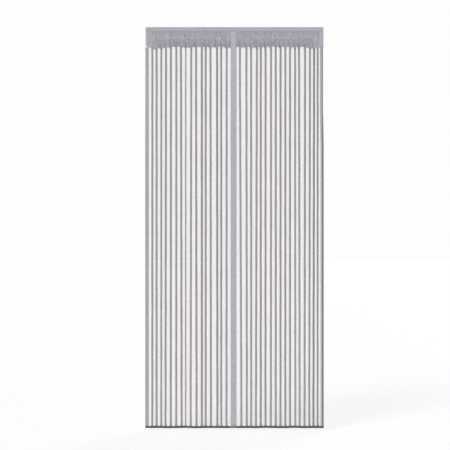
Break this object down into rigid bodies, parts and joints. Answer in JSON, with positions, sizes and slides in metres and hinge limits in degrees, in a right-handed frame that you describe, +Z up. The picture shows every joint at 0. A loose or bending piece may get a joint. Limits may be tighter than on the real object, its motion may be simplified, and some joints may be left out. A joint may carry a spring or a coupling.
{
  "type": "magnetic screen door curtain",
  "caption": "Hanging insect screen for a doorway: sheer striped net panels that close on a magnet strip, under a gathered heading.",
  "frame": {"origin": "middle of the top edge, in the plane where the curtain's back lies against the door frame", "axes": "+Z up along the hanging length, +X to the right as seen from the front, +Y into the doorway, so the front faces -Y"},
  "size_m": [0.892, 0.0176, 2.004],
  "materials": {
    "striped_net": "sheer polyester net with raised woven stripes",
    "heading_tape_cloth": "matte plain-woven polyester tape",
    "gathered_band_cloth": "matte gathered polyester",
    "binding_tape": "matte folded binding tape",
    "magnet_strip_cloth": "smooth matte polyester casing"
  },
  "bodies": {
    "root": {"left_net": "striped_net", "right_net": "striped_net", "heading_tape": "heading_tape_cloth", "heading_band_left": "gathered_band_cloth", "heading_band_right": "gathered_band_cloth", "heading_end_left": "heading_tape_cloth", "heading_end_right": "heading_tape_cloth", "side_binding_left": "binding_tape", "side_binding_right": "binding_tape", "centre_strip_front": "magnet_strip_cloth", "centre_strip_back": "magnet_strip_cloth"}
  },
  "joints": []
}
